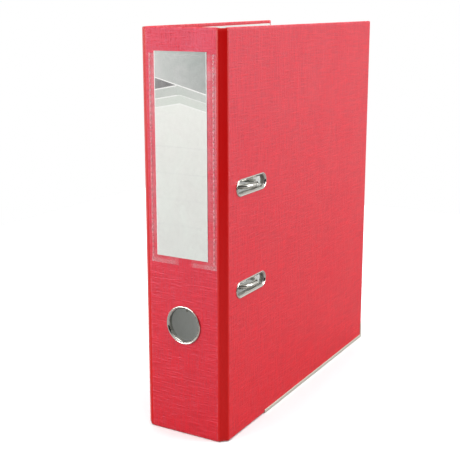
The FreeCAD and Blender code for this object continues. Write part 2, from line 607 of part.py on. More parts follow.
def lever_parts():
    lever()
    cross_pin("lever_pin", "dim.pin_dia / 2", dim.lever_width / 2 + dim.lug_gap + dim.plate_sheet, 1.0, PIVOT)
    cross_pin("roller_pin", "dim.roller_pin_dia / 2", dim.lever_width / 2, 0.4, ROLLER)
    half = dim.lever_width / 2 - dim.lever_sheet - ROLLER_PLAY
    wheel = rod("roller_wheel", "dim.roller_dia / 2", 2 * half, (ROLLER.x, ROLLER.y - half, ROLLER.z),
                Y_AXIS)
    bore = rod("roller_bore", "dim.roller_pin_dia / 2 + dim.running", "2 * dim.lever_width",
               (ROLLER.x, ROLLER.y - dim.lever_width, ROLLER.z), Y_AXIS)
    node(cut("roller_cut", wheel, [bore]), "roller", AT_REAR)


# --- compressor bar: a strip that slides on the posts and holds the paper down ---

def compressor():
    middle = "dim.file_height / 2 - dim.mech_drop"
    strip = box("bar_strip", ("dim.bar_sheet", "dim.bar_span", "dim.bar_tall - dim.bar_span"),
                ("dim.bar_rise", f"{POST_Y} - dim.bar_span / 2",
                 f"{middle} - (dim.bar_tall - dim.bar_span) / 2"))
    ends = [rod(f"bar_end_{i}", "dim.bar_span / 2", "dim.bar_sheet",
                ("dim.bar_rise", POST_Y, f"{middle} {sign} (dim.bar_tall - dim.bar_span) / 2"), X_AXIS)
            for i, sign in enumerate("+-")]
    tools = [rod(f"bar_hole_{i}", "dim.post_dia / 2 + 0.1", TOOL_LONG, ("dim.bar_rise - 5", POST_Y, z),
                 X_AXIS)
             for i, z in enumerate(POST_Z)]
    node(cut("bar_cut", fuse("bar_solid", [strip] + ends), tools), "compressor_bar", AT_REAR)
    clip = box("clip_plate", ("1.6", "8", "46"), ("dim.bar_rise + dim.bar_sheet", f"{POST_Y} - 4",
               f"{middle} - 23"))
    node(group("clip_group", [clip]), "compressor_clip", AT_REAR)


spine()
finger_ring()
label()
cover(-1, AT_FRONT, slot_tools)
slot_eyelets()
cover(1, AT_REAR, rivet_tools)
crease("front_crease", 1)
crease("rear_crease", -1)
base_plate()
base_rivets()
posts()
arch_wire()
lift_plate()
opening_spring()
lever_parts()
compressor()
doc.recompute()

for obj in doc.Objects:
    if "Invalid" in obj.State or "Error" in obj.State:
        raise ValueError(f"{obj.Name} ({obj.Label}) failed: {obj.State}")
for obj in nodes:
    if obj.Shape.isNull() or not obj.Shape.isValid():
        raise ValueError(f"{obj.Label} has no valid shape")

os.makedirs("parts", exist_ok=True)
for obj in nodes:
    obj.Shape.exportStep(f"parts/{obj.Label}.step")
    print(obj.Label, len(obj.Shape.Solids), round(obj.Shape.Volume, 1))
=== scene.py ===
import bpy
import bmesh
import math
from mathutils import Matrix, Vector


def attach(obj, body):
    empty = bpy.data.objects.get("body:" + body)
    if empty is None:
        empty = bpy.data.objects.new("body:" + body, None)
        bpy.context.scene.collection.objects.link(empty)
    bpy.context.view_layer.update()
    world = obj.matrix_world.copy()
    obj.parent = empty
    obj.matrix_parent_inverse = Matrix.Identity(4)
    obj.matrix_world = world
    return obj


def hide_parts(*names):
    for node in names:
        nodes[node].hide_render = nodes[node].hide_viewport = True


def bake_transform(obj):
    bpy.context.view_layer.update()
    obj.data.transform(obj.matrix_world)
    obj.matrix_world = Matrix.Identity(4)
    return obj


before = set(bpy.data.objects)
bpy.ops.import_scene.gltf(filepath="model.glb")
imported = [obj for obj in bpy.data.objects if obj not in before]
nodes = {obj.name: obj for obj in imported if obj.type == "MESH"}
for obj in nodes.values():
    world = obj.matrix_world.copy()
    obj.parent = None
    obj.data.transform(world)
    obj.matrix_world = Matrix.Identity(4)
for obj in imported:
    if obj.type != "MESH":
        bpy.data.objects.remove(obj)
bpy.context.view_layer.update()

# Lever arch file standing on its foot. The spine faces -Y, the front cover is on the +X side,
# the rear cover with the mechanism on the -X side. Lengths here are in millimetres, and MM
# turns them into the frame's metres.

MM = 0.001


# --- studio: a pale floor and backdrop, a camera and soft boxes ---
# The file stands on a white sweep. Soft boxes light it from both sides and a little from behind,
# with a broad even light from above, so that the foil keeps its colour and the metal shines.

def node(tree, kind, inputs=None, **settings):
    """Adds a shader node. A socket given as an input is linked, a value is set."""
    made = tree.nodes.new(kind)
    for name, value in settings.items():
        setattr(made, name, value)
    for name, value in (inputs or {}).items():
        if isinstance(value, bpy.types.NodeSocket):
            tree.links.new(value, made.inputs[name])
        else:
            made.inputs[name].default_value = value
    return made


def paint(red, green, blue):
    """A colour from its 0 to 255 display values, as the linear values shaders use."""
    return tuple(((c / 255 + 0.055) / 1.055) ** 2.4 if c > 10 else c / 3294.6
                 for c in (red, green, blue)) + (1.0,)


def new_material(name, **values):
    """A material with a Principled shader: returns the material, its tree and the shader."""
    made = bpy.data.materials.new(name)
    made.use_nodes = True
    shader = made.node_tree.nodes["Principled BSDF"]
    for socket, value in values.items():
        shader.inputs[socket.replace("_", " ")].default_value = value
    return made, made.node_tree, shader


camera_data = bpy.data.cameras.new("camera")
camera_data.lens = 75.436
camera_data.sensor_width = 36
camera_data.clip_start = 0.01
camera = bpy.data.objects.new("camera", camera_data)
camera.location = (0.39806, -0.59367, 0.33464)
camera.rotation_euler = [math.radians(angle) for angle in (76.7593, 0.0716, 30.9877)]
bpy.context.scene.collection.objects.link(camera)
bpy.context.scene.camera = camera
bpy.context.scene.view_settings.view_transform = "Standard"

sweep_material, tree, shader = new_material("studio_sweep", Roughness=0.9)
where = node(tree, "ShaderNodeTexCoord").outputs["Object"]
grain = node(tree, "ShaderNodeTexNoise", {"Vector": where, "Scale": 40.0, "Detail": 3.0})
tone = node(tree, "ShaderNodeMapRange", {"Value": grain.outputs[0], "To Min": 0.93, "To Max": 0.95})
direct = node(tree, "ShaderNodeLightPath").outputs["Is Camera Ray"]
bounce = node(tree, "ShaderNodeMapRange", {"Value": direct, "To Min": 0.30, "To Max": 1.0})
shown = node(tree, "ShaderNodeMath", {0: tone.outputs[0], 1: bounce.outputs[0]}, operation="MULTIPLY")
tree.links.new(shown.outputs[0], shader.inputs["Base Color"])

sweep_mesh = bpy.data.meshes.new("studio_floor")
sweep_corners = [(-0.65, -0.5, 0), (0.65, -0.5, 0), (0.65, 0.9, 0), (-0.65, 0.9, 0)]
sweep_mesh.from_pydata(sweep_corners, [], [(0, 1, 2, 3)])
floor = bpy.data.objects.new("studio_floor", sweep_mesh)
floor.data.materials.append(sweep_material)
floor.location.z = -0.0002
bpy.context.scene.collection.objects.link(floor)

# a pale room with a dark flag low on the right, which keeps glare off the spine
world = bpy.data.worlds.new("studio")
world.use_nodes = True
sky = world.node_tree
toward = node(sky, "ShaderNodeTexCoord").outputs["Generated"]
flag_direction = (0.83, -0.5, -0.22)
facing = node(sky, "ShaderNodeVectorMath", {0: toward, 1: flag_direction}, operation="DOT_PRODUCT")
flagged = node(sky, "ShaderNodeMapRange", {"Value": facing.outputs["Value"], "From Min": 0.35,
                                           "From Max": 0.85, "To Min": 0.72, "To Max": 0.02},
               interpolation_type="SMOOTHSTEP")
direct = node(sky, "ShaderNodeLightPath").outputs["Is Camera Ray"]
strength = node(sky, "ShaderNodeMath", {0: flagged.outputs[0], 1: direct}, operation="MAXIMUM")
sky.links.new(strength.outputs[0], sky.nodes["Background"].inputs["Strength"])
sky.nodes["Background"].inputs["Color"].default_value = (1, 1, 1, 1)
bpy.context.scene.world = world


def soft_box(name, place, aim, size, power):
    """A square area light at place that points at aim."""
    data = bpy.data.lights.new(name, "AREA")
    data.size = size
    data.energy = power
    light = bpy.data.objects.new(name, data)
    light.location = place
    light.rotation_euler = (Vector(aim) - Vector(place)).to_track_quat("-Z", "Y").to_euler()
    bpy.context.scene.collection.objects.link(light)


soft_box("soft_box_left", (-0.9, -1.3, 0.42), (0, 0, 0.2), 0.8, 15.5)
soft_box("soft_box_right", (1.9, 0.9, 0.8), (0, 0.1, 0.15), 1.2, 34)
soft_box("soft_box_back", (1.4, 1.9, 0.5), (0, 0.1, 0.15), 1.2, 2)
overhead_data = bpy.data.lights.new("overhead", "SUN")
overhead_data.energy = 2.2
overhead_data.angle = math.radians(50)
overhead = bpy.data.objects.new("overhead", overhead_data)
bpy.context.scene.collection.objects.link(overhead)


# --- covered boards: spine, front cover and rear cover ---
# Each is a greyboard panel wrapped in embossed plastic foil. The foil is glued on, folded over
# the edges, and turned in by 3 mm all round under the paper lining.

FOIL = 0.3
PANEL = 2.6
TURN_IN = 3.0
FOLD = 0.8
SPINE_FACE = -1.3
HINGE_X = 37.5
HINGE_Y = 3.7
SPINE_EDGE = 32.5
TALL = 318.0


def angled_frame(corner_x, inward, degrees):
    """A cover's own frame: t along it from its hinge edge, v up, n in from its outer face."""
    turn = math.radians(degrees)
    across = Vector((inward * math.cos(turn), inward * math.sin(turn), 0))
    along = Vector((-math.sin(turn), math.cos(turn), 0))

    def place(t, v, n):
        return (Vector((corner_x, HINGE_Y, v)) + along * t + across * n) * MM
    return place


def on_spine(u, v, n):
    return Vector((u, SPINE_FACE + n, v)) * MM


FRONT_SPLAY = 2.0
REAR_SPLAY = 9.0
on_front = angled_frame(HINGE_X, -1, FRONT_SPLAY)
on_rear = angled_frame(-HINGE_X, 1, REAR_SPLAY)


def rounded_outline(span, radii, inset, steps=6):
    """Points of a rectangle (u0, u1, v0, v1) moved in by inset, each corner with its radius."""
    u0, u1, v0, v1 = span
    points = []
    for number, (u, v) in enumerate(((u1, v0), (u1, v1), (u0, v1), (u0, v0))):
        radius = max(radii[number], inset + 0.02)
        centre_u = u - math.copysign(radius, u - (u0 + u1) / 2)
        centre_v = v - math.copysign(radius, v - (v0 + v1) / 2)
        for step in range(steps + 1):
            angle = math.pi / 2 * (number - 1 + step / steps)
            points.append((centre_u + (radius - inset) * math.cos(angle),
                           centre_v + (radius - inset) * math.sin(angle)))
    return points


def slot_outline(centre_u, centre_v, long, wide, steps=14):
    """Points of a slot with round ends; long equal to wide gives a circle."""
    points = []
    for end in (1, -1):
        for step in range(steps + 1):
            angle = math.pi * (step / steps - 0.5) + (0 if end > 0 else math.pi)
            points.append((centre_u + end * (long - wide) / 2 + wide / 2 * math.cos(angle),
                           centre_v + wide / 2 * math.sin(angle)))
    return points


def loop(bm, points, depth, place, wear_layer=None, wear=0.0):
    """A closed ring of vertices at one depth."""
    made = []
    for u, v in points:
        vertex = bm.verts.new(place(u, v, depth))
        if wear_layer is not None:
            vertex[wear_layer] = wear
        made.append(vertex)
    return made


def skin(bm, first, second):
    """Quads between two rings of the same length."""
    count = len(first)
    for i in range(count):
        j = (i + 1) % count
        bm.faces.new((first[i], first[j], second[j], second[i]))


def fill(bm, rings):
    """Flat triangles between an outer ring and the holes in it."""
    edges = []
    for ring in rings:
        for i, vertex in enumerate(ring):
            ends = (vertex, ring[(i + 1) % len(ring)])
            edges.append(bm.edges.get(ends) or bm.edges.new(ends))
    bmesh.ops.triangle_fill(bm, edges=edges, use_beauty=True)


def finish_mesh(bm, name, materials, sharp=40):
    """Turns the mesh into an object with smooth faces that stay sharp at real corners."""
    bmesh.ops.recalc_face_normals(bm, faces=bm.faces)
    mesh = bpy.data.meshes.new(name)
    bm.to_mesh(mesh)
    bm.free()
    for material in materials:
        mesh.materials.append(material)
    mesh.polygons.foreach_set("use_smooth", [True] * len(mesh.polygons))
    mesh.set_sharp_from_angle(angle=math.radians(sharp))
    made = bpy.data.objects.new(name, mesh)
    bpy.context.scene.collection.objects.link(made)
    return made


FLAT_FROM = 2.6
LIP_ROUND = 0.2
FOLD_ANGLES = [math.pi / 8 * step for step in range(5)]


def wrapped_panel(name, span, radii, holes, place, material):
    """Foil round a board: outer face, rounded folds, turned-in rim, and the room for the board."""
    bm = bmesh.new()
    wear = bm.verts.layers.float.new("edge_wear")
    rings = [(FLAT_FROM, 0, 0), (FOLD, 0, 0.55)]
    rings += [(FOLD * (1 - math.sin(a)), FOLD * (1 - math.cos(a)), 1.0) for a in FOLD_ANGLES[1:]]
    rings += [(FOLD * (1 - math.cos(a)), PANEL - FOLD * (1 - math.sin(a)), 0.9) for a in FOLD_ANGLES]
    rings += [(TURN_IN - LIP_ROUND, PANEL, 0), (TURN_IN, PANEL - 0.12, 0), (TURN_IN, PANEL - FOIL, 0),
              (FOIL, PANEL - FOIL, 0), (FOIL, FOIL, 0)]
    made = [loop(bm, rounded_outline(span, radii, inset), depth, place, wear, worn)
            for inset, depth, worn in rings]
    for first, second in zip(made, made[1:]):
        skin(bm, first, second)
    outer_holes = [loop(bm, hole, 0, place, wear, 0.0) for hole in holes]
    inner_holes = [loop(bm, hole, FOIL, place, wear, 0.0) for hole in holes]
    for first, second in zip(outer_holes, inner_holes):
        skin(bm, first, second)
    fill(bm, [made[0]] + outer_holes)
    fill(bm, [made[-1]] + inner_holes)
    return finish_mesh(bm, name, [material])


def effect_group(name, inputs, outputs):
    """An empty node group with named sockets: returns the group, its input and output node."""
    group = bpy.data.node_groups.new(name, "ShaderNodeTree")
    for socket, kind, default in inputs:
        made = group.interface.new_socket(socket, in_out="INPUT", socket_type=kind)
        if default is not None:
            made.default_value = default
    for socket, kind in outputs:
        group.interface.new_socket(socket, in_out="OUTPUT", socket_type=kind)
    return group, group.nodes.new("NodeGroupInput"), group.nodes.new("NodeGroupOutput")


# the linen emboss is rolled into the foil: long threads up and across, each a little uneven
linen, given, result = effect_group(
    "linen_emboss",
    [("Position", "NodeSocketVector", None), ("Threads per metre", "NodeSocketFloat", 700.0)],
    [("Height", "NodeSocketFloat"), ("Streaks", "NodeSocketFloat")])
threads = given.outputs["Threads per metre"]
slow = node(linen, "ShaderNodeMath", {0: threads, 1: 0.07}, operation="MULTIPLY").outputs[0]
streaks = []
for direction in ("across", "up"):
    rates = {"X": slow, "Y": slow, "Z": threads} if direction == "across" else \
        {"X": threads, "Y": threads, "Z": slow}
    scale = node(linen, "ShaderNodeCombineXYZ", rates)
    moved = node(linen, "ShaderNodeVectorMath", {0: given.outputs["Position"], 1: scale.outputs[0]},
                 operation="MULTIPLY")
    streaks.append(node(linen, "ShaderNodeTexNoise", {"Vector": moved.outputs[0], "Scale": 1.0,
                                                      "Detail": 2.5, "Roughness": 0.6}).outputs[0])
woven = node(linen, "ShaderNodeMath", {0: streaks[0], 1: streaks[1]}, operation="MAXIMUM")
# the second output is painted highlight and shade of the threads: the foil is lighter where the threads run
# high, darker between them
summed = node(linen, "ShaderNodeMath", {0: streaks[0], 1: streaks[1]}, operation="ADD")
halved = node(linen, "ShaderNodeMapRange", {"Value": summed.outputs[0], "From Min": 0.7, "From Max": 1.3})
linen.links.new(woven.outputs[0], result.inputs["Height"])
linen.links.new(halved.outputs[0], result.inputs["Streaks"])

# handling dulls a surface in broad soft patches and rubs it lighter on its folds
wear_group, given, result = effect_group(
    "handling_wear",
    [("Position", "NodeSocketVector", None), ("Edge", "NodeSocketFloat", 0.0),
     ("Clean", "NodeSocketColor", None), ("Rubbed", "NodeSocketColor", None),
     ("Rub", "NodeSocketFloat", 0.5), ("Shade", "NodeSocketFloat", 0.5),
     ("Shade depth", "NodeSocketFloat", 0.08)],
    [("Color", "NodeSocketColor"), ("Patches", "NodeSocketFloat")])
patches = node(wear_group, "ShaderNodeTexNoise", {"Vector": given.outputs["Position"], "Scale": 22.0,
                                                  "Detail": 4.0, "Roughness": 0.55})
nicks = node(wear_group, "ShaderNodeTexNoise", {"Vector": given.outputs["Position"], "Scale": 260.0,
                                                "Detail": 3.0})
bare = node(wear_group, "ShaderNodeMapRange", {"Value": nicks.outputs[0], "From Min": 0.42,
                                               "From Max": 0.66})
worn = node(wear_group, "ShaderNodeMath", {0: given.outputs["Edge"], 1: bare.outputs[0]},
            operation="MULTIPLY")
amount = node(wear_group, "ShaderNodeMath", {0: worn.outputs[0], 1: given.outputs["Rub"]},
              operation="MULTIPLY")
# the Shade value scales the clean colour around its middle; where a material feeds it an emboss's relief, as
# the foil does, this is painted highlight and shade
from_middle = node(wear_group, "ShaderNodeMath", {0: given.outputs["Shade"], 1: 0.5}, operation="SUBTRACT")
level = node(wear_group, "ShaderNodeMath", {0: from_middle.outputs[0], 1: given.outputs["Shade depth"],
                                            2: 1.0}, operation="MULTIPLY_ADD")
shaded = node(wear_group, "ShaderNodeVectorMath", {0: given.outputs["Clean"], "Scale": level.outputs[0]},
              operation="SCALE")
mixed = node(wear_group, "ShaderNodeMix", {0: amount.outputs[0], 6: shaded.outputs[0],
                                           7: given.outputs["Rubbed"]}, data_type="RGBA")
wear_group.links.new(mixed.outputs[2], result.inputs["Color"])
wear_group.links.new(patches.outputs[0], result.inputs["Patches"])


def use_group(tree, group, inputs):
    made = node(tree, "ShaderNodeGroup", node_tree=group)
    for name, value in inputs.items():
        if isinstance(value, bpy.types.NodeSocket):
            tree.links.new(value, made.inputs[name])
        else:
            made.inputs[name].default_value = value
    return made


foil_red = paint(211, 6, 12)
foil_rubbed = paint(240, 120, 128)

red_foil, tree, shader = new_material("red_linen_foil", Specular_Tint=(1.0, 0.70, 1.0, 1.0),
                                      Specular_IOR_Level=0.78)
where = node(tree, "ShaderNodeTexCoord").outputs["Object"]
edge = node(tree, "ShaderNodeAttribute", attribute_name="edge_wear").outputs["Fac"]
emboss = use_group(tree, linen, {"Position": where, "Threads per metre": 800.0})
fine = use_group(tree, linen, {"Position": where, "Threads per metre": 2400.0})
# the foil's colour is raised and lowered by up to 15 % with the emboss: painted highlight and shade of the
# threads
handled = use_group(tree, wear_group, {"Position": where, "Edge": edge, "Clean": foil_red,
                                       "Rubbed": foil_rubbed, "Rub": 0.45,
                                       "Shade": emboss.outputs["Streaks"], "Shade depth": 0.30})
gloss = node(tree, "ShaderNodeMapRange", {"Value": handled.outputs["Patches"], "From Min": 0.3,
                                          "From Max": 0.7, "To Min": 0.40, "To Max": 0.50})
relief = node(tree, "ShaderNodeMath", {0: fine.outputs["Height"], 1: 0.4, 2: emboss.outputs["Height"]},
              operation="MULTIPLY_ADD")
bump = node(tree, "ShaderNodeBump", {"Strength": 0.6, "Distance": 0.0008, "Height": relief.outputs[0]})
tree.links.new(handled.outputs["Color"], shader.inputs["Base Color"])
tree.links.new(gloss.outputs[0], shader.inputs["Roughness"])
tree.links.new(bump.outputs[0], shader.inputs["Normal"])

# the foil's corners: square at the creases, a little rounded at the fore-edge
spine_half = SPINE_EDGE - FOLD
SEAT = 14.1
RING_UP = 91.0
spine_wrap = wrapped_panel("spine_wrap", (-spine_half, spine_half, 0, TALL), (1.6, 1.0, 1.0, 1.6),
                           [slot_outline(0, RING_UP, 2 * SEAT, 2 * SEAT, 24)], on_spine, red_foil)
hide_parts("spine_foil")
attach(spine_wrap, "spine")

RAIL_SHEET = 0.5
DEPTH = 280.0
SLOT_T = 36.8
SLOT_LONG = 44.5
SLOT_WIDE = 9.0
SLOT_UP = (199.0, 119.0)
cover_span = (FOLD, DEPTH, RAIL_SHEET, TALL)
cover_radii = (1.4, 2.0, 1.0, 1.0)
front_wrap = wrapped_panel("front_wrap", cover_span, cover_radii,
                           [slot_outline(SLOT_T, up, SLOT_LONG + 1, SLOT_WIDE + 1) for up in SLOT_UP],
                           on_front, red_foil)
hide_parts("front_foil")
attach(front_wrap, "front_cover")

MECHANISM_UP = 157.5
RIVET_REACH = 59.0
RIVET_DIA = 4.0
RIVETS = [(t, MECHANISM_UP + reach) for t in (23.0, 39.0) for reach in (RIVET_REACH, -RIVET_REACH)]
rear_wrap = wrapped_panel("rear_wrap", cover_span, cover_radii,
                          [slot_outline(t, up, RIVET_DIA, RIVET_DIA, 8) for t, up in RIVETS],
                          on_rear, red_foil)
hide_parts("rear_foil")
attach(rear_wrap, "rear_cover")


# --- boards and linings ---
# The boards are grey recycled pulp board, hidden inside the foil. The linings are white coated
# paper glued over the turn-ins: pale, matt, with a faint fibre and a few scuffs.

def paper_material(name, clean, dirty, fibre, depth):
    """Matt stock; fibre is how many to the metre, and depth how far they stand out, in metres."""
    made, tree, shader = new_material(name)
    where = node(tree, "ShaderNodeTexCoord").outputs["Object"]
    fibres = node(tree, "ShaderNodeTexNoise", {"Vector": where, "Scale": fibre, "Detail": 6.0,
                                               "Roughness": 0.7, "Distortion": 0.6})
    handled = use_group(tree, wear_group, {"Position": where, "Edge": fibres.outputs[0], "Clean": clean,
                                           "Rubbed": dirty, "Rub": 0.3, "Shade": fibres.outputs[0],
                                           "Shade depth": 0.12})
    matt = node(tree, "ShaderNodeMapRange", {"Value": handled.outputs["Patches"], "To Min": 0.62,
                                             "To Max": 0.9})
    bump = node(tree, "ShaderNodeBump", {"Strength": 0.25, "Distance": depth, "Height": fibres.outputs[0]})
    tree.links.new(handled.outputs["Color"], shader.inputs["Base Color"])
    tree.links.new(matt.outputs[0], shader.inputs["Roughness"])
    tree.links.new(bump.outputs[0], shader.inputs["Normal"])
    return made


def refinish(names, material):
    """Gives CAD nodes that stay as they are a new material."""
    for name in names:
        for place in nodes[name].material_slots:
            place.material = material


pulp_board = paper_material("pulp_board", paint(150, 146, 138), paint(120, 116, 108), 900.0, 0.0002)
lining_paper = paper_material("lining_paper", paint(224, 226, 223), paint(198, 200, 196), 1400.0, 0.00008)
refinish(("spine_board", "front_board", "rear_board"), pulp_board)
refinish(("spine_lining", "front_lining", "rear_lining"), lining_paper)


# --- creases between the spine and the covers ---
# The bare foil and lining bridge each gap and were rolled smooth, without the emboss. Each crease
# is made in two halves that meet at its middle, one for each of its two fold lines.

crease_foil, tree, shader = new_material("crease_foil", Specular_IOR_Level=0.35)
where = node(tree, "ShaderNodeTexCoord").outputs["Object"]
edge = node(tree, "ShaderNodeAttribute", attribute_name="edge_wear").outputs["Fac"]
long_marks = node(tree, "ShaderNodeMapping", {"Vector": where, "Scale": (900.0, 900.0, 26.0)})
creasing = node(tree, "ShaderNodeTexNoise", {"Vector": long_marks.outputs[0], "Scale": 1.0, "Detail": 3.0})
handled = use_group(tree, wear_group, {"Position": where, "Edge": edge, "Clean": paint(204, 6, 6),
                                       "Rubbed": paint(226, 84, 84), "Rub": 0.4,
                                       "Shade": creasing.outputs[0], "Shade depth": 0.10})
gloss = node(tree, "ShaderNodeMapRange", {"Value": handled.outputs["Patches"], "From Min": 0.3,
                                          "From Max": 0.7, "To Min": 0.30, "To Max": 0.42})
bump = node(tree, "ShaderNodeBump", {"Strength": 0.12, "Distance": 0.0003, "Height": creasing.outputs[0]})
tree.links.new(handled.outputs["Color"], shader.inputs["Base Color"])
tree.links.new(gloss.outputs[0], shader.inputs["Roughness"])
tree.links.new(bump.outputs[0], shader.inputs["Normal"])

BRIDGE = 0.5        # thickness of foil and lining together
BRIDGE_LOW = 0.7    # height of the crease's foot
BRIDGE_ROUND = 0.16
FOLD_REACH = 0.8    # length of a fold line's rounding to each side
FLAT_STEPS = 6
BOW = 0.18          # how far the strip sags inward at its middle
WORN_SPAN = 2.0
LINED_ROW = 3


def fold_points(before, corner, after, reach, steps=5):
    """A rounded corner on the line before, corner, after, as plan points."""
    start = corner + (before - corner).normalized() * reach
    end = corner + (after - corner).normalized() * reach
    shares = [i / steps for i in range(steps + 1)]
    return [start.lerp(corner, t).lerp(corner.lerp(end, t), t) for t in shares]


def crease_half(name, on_panel, fold, middle, inward):
    """Foil and lining from a panel's face, round one fold line, to the middle of the crease."""
    line = [on_panel] + fold_points(on_panel, fold, middle, FOLD_REACH)
    start = line[-1]
    line += [start.lerp(middle, i / FLAT_STEPS) + inward * BOW * math.sin(math.pi / 2 * i / FLAT_STEPS)
             for i in range(1, FLAT_STEPS + 1)]
    normals = []
    for i in range(len(line)):
        along = (line[min(i + 1, len(line) - 1)] - line[max(i - 1, 0)]).normalized()
        across = Vector((-along.y, along.x))
        normals.append(across if across.dot(inward) > 0 else -across)
    normals[-1] = inward
    bm = bmesh.new()
    wear = bm.verts.layers.float.new("edge_wear")
    foot, head = BRIDGE_LOW + LIP_ROUND, TALL - BRIDGE_LOW
    levels = [(BRIDGE_LOW, BRIDGE_ROUND, 1.0), (foot, 0, 1.0), (foot + WORN_SPAN, 0, 0.0),
              (TURN_IN, 0, 0.0), (TALL - TURN_IN, 0, 0.0), (head - WORN_SPAN, 0, 0.0),
              (head, 0, 1.0), (head + LIP_ROUND, BRIDGE_ROUND, 1.0)]
    rows = []
    for up, drawn_in, worn in levels:
        row = []
        for depth in (drawn_in, BRIDGE - drawn_in):
            side = []
            for point, normal in zip(line, normals):
                spot = point + normal * depth
                vertex = bm.verts.new((spot.x * MM, spot.y * MM, up * MM))
                vertex[wear] = worn
                side.append(vertex)
            row.append(side)
        rows.append(row[0] + row[1][::-1])
    for number, (low, high) in enumerate(zip(rows, rows[1:])):
        for i in range(len(low)):
            j = (i + 1) % len(low)
            face = bm.faces.new((low[i], low[j], high[j], high[i]))
            if number == LINED_ROW and len(line) <= i < 2 * len(line) - 1:
                face.material_index = 1
    count = len(line)
    for row in (rows[0], rows[-1]):
        for i in range(count - 1):
            bm.faces.new((row[i], row[i + 1], row[2 * count - 2 - i], row[2 * count - 1 - i]))
    return finish_mesh(bm, name, [crease_foil, lining_paper], 50)


def flat_point(place, t):
    spot = place(t, 0, 0) / MM
    return Vector((spot.x, spot.y))


for side_name, sign, place in (("front", 1, on_front), ("rear", -1, on_rear)):
    spine_fold = Vector((sign * SPINE_EDGE, SPINE_FACE))
    cover_fold = Vector((sign * HINGE_X, HINGE_Y))
    middle = (spine_fold + cover_fold) / 2
    inward = Vector((-sign, 1)).normalized()
    across = (cover_fold - spine_fold).normalized()
    strip_body = f"{side_name}_hinge_strip"
    halves = (
        ("spine", f"{side_name}_crease_at_spine", Vector((sign * (SPINE_EDGE - 2 * FOLD), SPINE_FACE)),
         spine_fold, "spine", strip_body),
        ("cover", f"{side_name}_crease_at_cover", flat_point(place, 2 * FOLD),
         cover_fold, f"{side_name}_cover", strip_body))
    for kind, name, on_panel, fold, panel_body, strip in halves:
        half = crease_half(name, on_panel, fold, middle, inward)
        toward = across if kind == "spine" else -across
        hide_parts(f"{side_name}_crease")
        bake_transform(half)


# --- edge rails ---
# Thin pressed steel channels, zinc plated. They are squeezed onto the foot of each cover and turn
# up its fore-edge, where the board would otherwise wear against the shelf.

# plated metal: fine rolling lines in its tone, fingerprints in its gloss
metal_group, given, result = effect_group(
    "plated_metal",
    [("Position", "NodeSocketVector", None), ("Metal", "NodeSocketColor", None),
     ("Dull", "NodeSocketFloat", 0.25), ("Line scale", "NodeSocketFloat", 1200.0)],
    [("Color", "NodeSocketColor"), ("Roughness", "NodeSocketFloat"), ("Height", "NodeSocketFloat")])
stretch = node(metal_group, "ShaderNodeVectorMath", {0: given.outputs["Position"], 1: (1.0, 1.0, 0.05)},
               operation="MULTIPLY")
lines = node(metal_group, "ShaderNodeTexNoise", {"Vector": stretch.outputs[0],
                                                 "Scale": given.outputs["Line scale"], "Detail": 3.0})
prints = node(metal_group, "ShaderNodeTexNoise", {"Vector": given.outputs["Position"], "Scale": 60.0,
                                                  "Detail": 5.0, "Roughness": 0.6})
spread = node(metal_group, "ShaderNodeMapRange", {"Value": prints.outputs[0], "From Min": 0.35,
                                                  "From Max": 0.7, "To Min": -0.06, "To Max": 0.14})
rough = node(metal_group, "ShaderNodeMath", {0: given.outputs["Dull"], 1: spread.outputs[0]},
             operation="ADD")
tone = node(metal_group, "ShaderNodeMapRange", {"Value": lines.outputs[0], "To Min": 0.88, "To Max": 1.06})
coloured = node(metal_group, "ShaderNodeVectorMath", {0: given.outputs["Metal"], "Scale": tone.outputs[0]},
                operation="SCALE")
metal_group.links.new(coloured.outputs[0], result.inputs["Color"])
metal_group.links.new(rough.outputs[0], result.inputs["Roughness"])
metal_group.links.new(lines.outputs[0], result.inputs["Height"])


def metal_material(name, colour, dull, line_scale, bump_strength=0.08, metallic=1.0, sleeve=None):
    """A sleeve is a direction and the distance along it beyond which the metal is left unpolished and
    rougher, and painted darker: painted shade inside the hole.
    """
    made, tree, shader = new_material(name, Metallic=metallic)
    where = node(tree, "ShaderNodeTexCoord").outputs["Object"]
    plated = use_group(tree, metal_group, {"Position": where, "Metal": colour, "Dull": dull,
                                           "Line scale": line_scale})
    bump = node(tree, "ShaderNodeBump", {"Strength": bump_strength, "Distance": 0.0001,
                                         "Height": plated.outputs["Height"]})
    tint, gloss = plated.outputs["Color"], plated.outputs["Roughness"]
    if sleeve:
        depth = node(tree, "ShaderNodeVectorMath", {0: where, 1: sleeve[0]}, operation="DOT_PRODUCT")
        hole_shade = node(tree, "ShaderNodeMapRange", {"Value": depth.outputs["Value"],
                                                  "From Min": (sleeve[1] - 0.1) * MM,
                                                  "From Max": (sleeve[1] + 0.3) * MM}).outputs[0]
        # painted shade: past the sleeve's start the metal's colour turns to a dark grey
        tint = node(tree, "ShaderNodeMix", {0: hole_shade, 6: tint, 7: paint(164, 163, 157)},
                    data_type="RGBA").outputs[2]
        gloss = node(tree, "ShaderNodeMath", {0: hole_shade, 1: 0.4, 2: gloss},
                     operation="MULTIPLY_ADD").outputs[0]
    tree.links.new(tint, shader.inputs["Base Color"])
    tree.links.new(gloss, shader.inputs["Roughness"])
    tree.links.new(bump.outputs[0], shader.inputs["Normal"])
    return made


